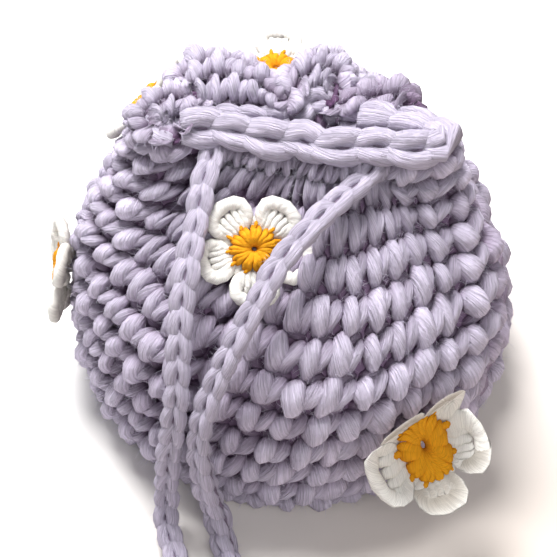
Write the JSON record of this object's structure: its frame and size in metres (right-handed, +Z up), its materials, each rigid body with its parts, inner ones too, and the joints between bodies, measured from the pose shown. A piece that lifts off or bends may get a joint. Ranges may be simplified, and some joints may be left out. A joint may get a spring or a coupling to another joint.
{
  "type": "drawstring dice bag",
  "caption": "Chunky crocheted pouch with a gathered mouth, a braided drawstring with two knotted tails, and small sewn-on daisies.",
  "frame": {"origin": "middle of the round base where it rests on the table", "axes": "+Z up through the mouth; -Y towards the front, where the two tails of the drawstring hang"},
  "size_m": [0.1353, 0.1618, 0.0961],
  "materials": {
    "lavender_yarn": "soft matte bulky yarn",
    "white_cotton": "matte cotton yarn",
    "yellow_cotton": "matte cotton yarn"
  },
  "bodies": {
    "pouch": {"base": "lavender_yarn", "side_wall": "lavender_yarn", "shoulder_front": "lavender_yarn", "rim_edge_front": "lavender_yarn", "eyelet_post_front_1": "lavender_yarn", "eyelet_post_front_2": "lavender_yarn", "eyelet_post_front_3": "lavender_yarn", "eyelet_post_front_4": "lavender_yarn", "eyelet_post_front_5": "lavender_yarn", "eyelet_post_front_6": "lavender_yarn"},
    "right_lobe": {"shoulder_right": "lavender_yarn", "rim_edge_right": "lavender_yarn", "eyelet_post_right_1": "lavender_yarn", "eyelet_post_right_2": "lavender_yarn", "drawstring_right": "lavender_yarn"},
    "rear_right_lobe": {"shoulder_rear_right": "lavender_yarn", "rim_edge_rear_right": "lavender_yarn", "eyelet_post_rear_right_1": "lavender_yarn", "drawstring_rear_right": "lavender_yarn"},
    "rear_left_lobe": {"shoulder_rear_left": "lavender_yarn", "rim_edge_rear_left": "lavender_yarn", "eyelet_post_rear_left_1": "lavender_yarn", "eyelet_post_rear_left_2": "lavender_yarn", "eyelet_post_rear_left_3": "lavender_yarn", "drawstring_rear_left": "lavender_yarn"},
    "left_lobe": {"shoulder_left": "lavender_yarn", "rim_edge_left": "lavender_yarn", "eyelet_post_left_1": "lavender_yarn", "eyelet_post_left_2": "lavender_yarn"},
    "left_cord": {"left_tail": "lavender_yarn", "left_knot": "lavender_yarn"},
    "right_cord": {"right_tail": "lavender_yarn", "right_knot": "lavender_yarn"},
    "front_daisy": {"daisy_front_petals": "white_cotton", "daisy_front_centre": "yellow_cotton", "daisy_front_tack": "white_cotton"},
    "lower_right_daisy": {"daisy_lower_right_petals": "white_cotton", "daisy_lower_right_centre": "yellow_cotton", "daisy_lower_right_tack": "white_cotton"},
    "left_daisy": {"daisy_left_petals": "white_cotton", "daisy_left_centre": "yellow_cotton", "daisy_left_tack": "white_cotton"},
    "rear_left_daisy": {"daisy_rear_left_petals": "white_cotton", "daisy_rear_left_centre": "yellow_cotton", "daisy_rear_left_tack": "white_cotton"},
    "rear_daisy": {"daisy_rear_petals": "white_cotton", "daisy_rear_centre": "yellow_cotton", "daisy_rear_tack": "white_cotton"}
  },
  "joints": [
    {"name": "mouth_open", "type": "hinge", "parent": "pouch", "child": "rear_left_lobe", "pos_m": [-0.03152, 0.0426, 0.044], "axis": [-0.8039, -0.5948, 0], "range_deg": [0, 14]},
    {"name": "right_lobe_lean", "type": "hinge", "parent": "pouch", "child": "right_lobe", "pos_m": [0.04783, 0.02281, 0.044], "axis": [-0.4305, 0.9026, 0], "range_deg": [0, 14]},
    {"name": "rear_right_lobe_lean", "type": "hinge", "parent": "pouch", "child": "rear_right_lobe", "pos_m": [0.01594, 0.05054, 0.044], "axis": [-0.9537, 0.3007, 0], "range_deg": [0, 14]},
    {"name": "left_lobe_lean", "type": "hinge", "parent": "pouch", "child": "left_lobe", "pos_m": [-0.05294, 0.00231, 0.044], "axis": [-0.0436, -0.999, 0], "range_deg": [0, 14]},
    {"name": "left_tail_pull", "type": "slide", "parent": "pouch", "child": "left_cord", "axis": [0, -1, 0], "range_m": [0, 0.008]},
    {"name": "right_tail_pull", "type": "slide", "parent": "pouch", "child": "right_cord", "axis": [0, -1, 0], "range_m": [0, 0.008]},
    {"name": "front_daisy_tip", "type": "hinge", "parent": "pouch", "child": "front_daisy", "pos_m": [-0.01135, -0.02481, 0.0705], "axis": [0.9202, -0.3915, 0], "range_deg": [-4, 4], "stiffness_Nm_per_rad": 0.004},
    {"name": "lower_right_daisy_tip", "type": "hinge", "parent": "pouch", "child": "lower_right_daisy", "pos_m": [0.03096, -0.04421, 0.025], "axis": [0.8191, 0.5736, 0], "range_deg": [-6, 6], "stiffness_Nm_per_rad": 0.004},
    {"name": "left_daisy_tip", "type": "hinge", "parent": "pouch", "child": "left_daisy", "pos_m": [-0.05364, 0, 0.038], "axis": [0, -1, 0], "range_deg": [-6, 6], "stiffness_Nm_per_rad": 0.004},
    {"name": "rear_left_daisy_tip", "type": "hinge", "parent": "rear_left_lobe", "child": "rear_left_daisy", "pos_m": [-0.03364, 0.02795, 0.066], "axis": [-0.6143, -0.7891, 0], "range_deg": [-6, 6], "stiffness_Nm_per_rad": 0.004},
    {"name": "rear_daisy_tip", "type": "hinge", "parent": "rear_right_lobe", "child": "rear_daisy", "pos_m": [0.00432, 0.04231, 0.063], "axis": [-0.9943, -0.1071, 0], "range_deg": [0, 6], "stiffness_Nm_per_rad": 0.004}
  ],
  "couplings": [
    {"joint": "right_lobe_lean", "follows": "mouth_open", "ratio": 1},
    {"joint": "rear_right_lobe_lean", "follows": "mouth_open", "ratio": 1},
    {"joint": "left_lobe_lean", "follows": "mouth_open", "ratio": 1}
  ]
}
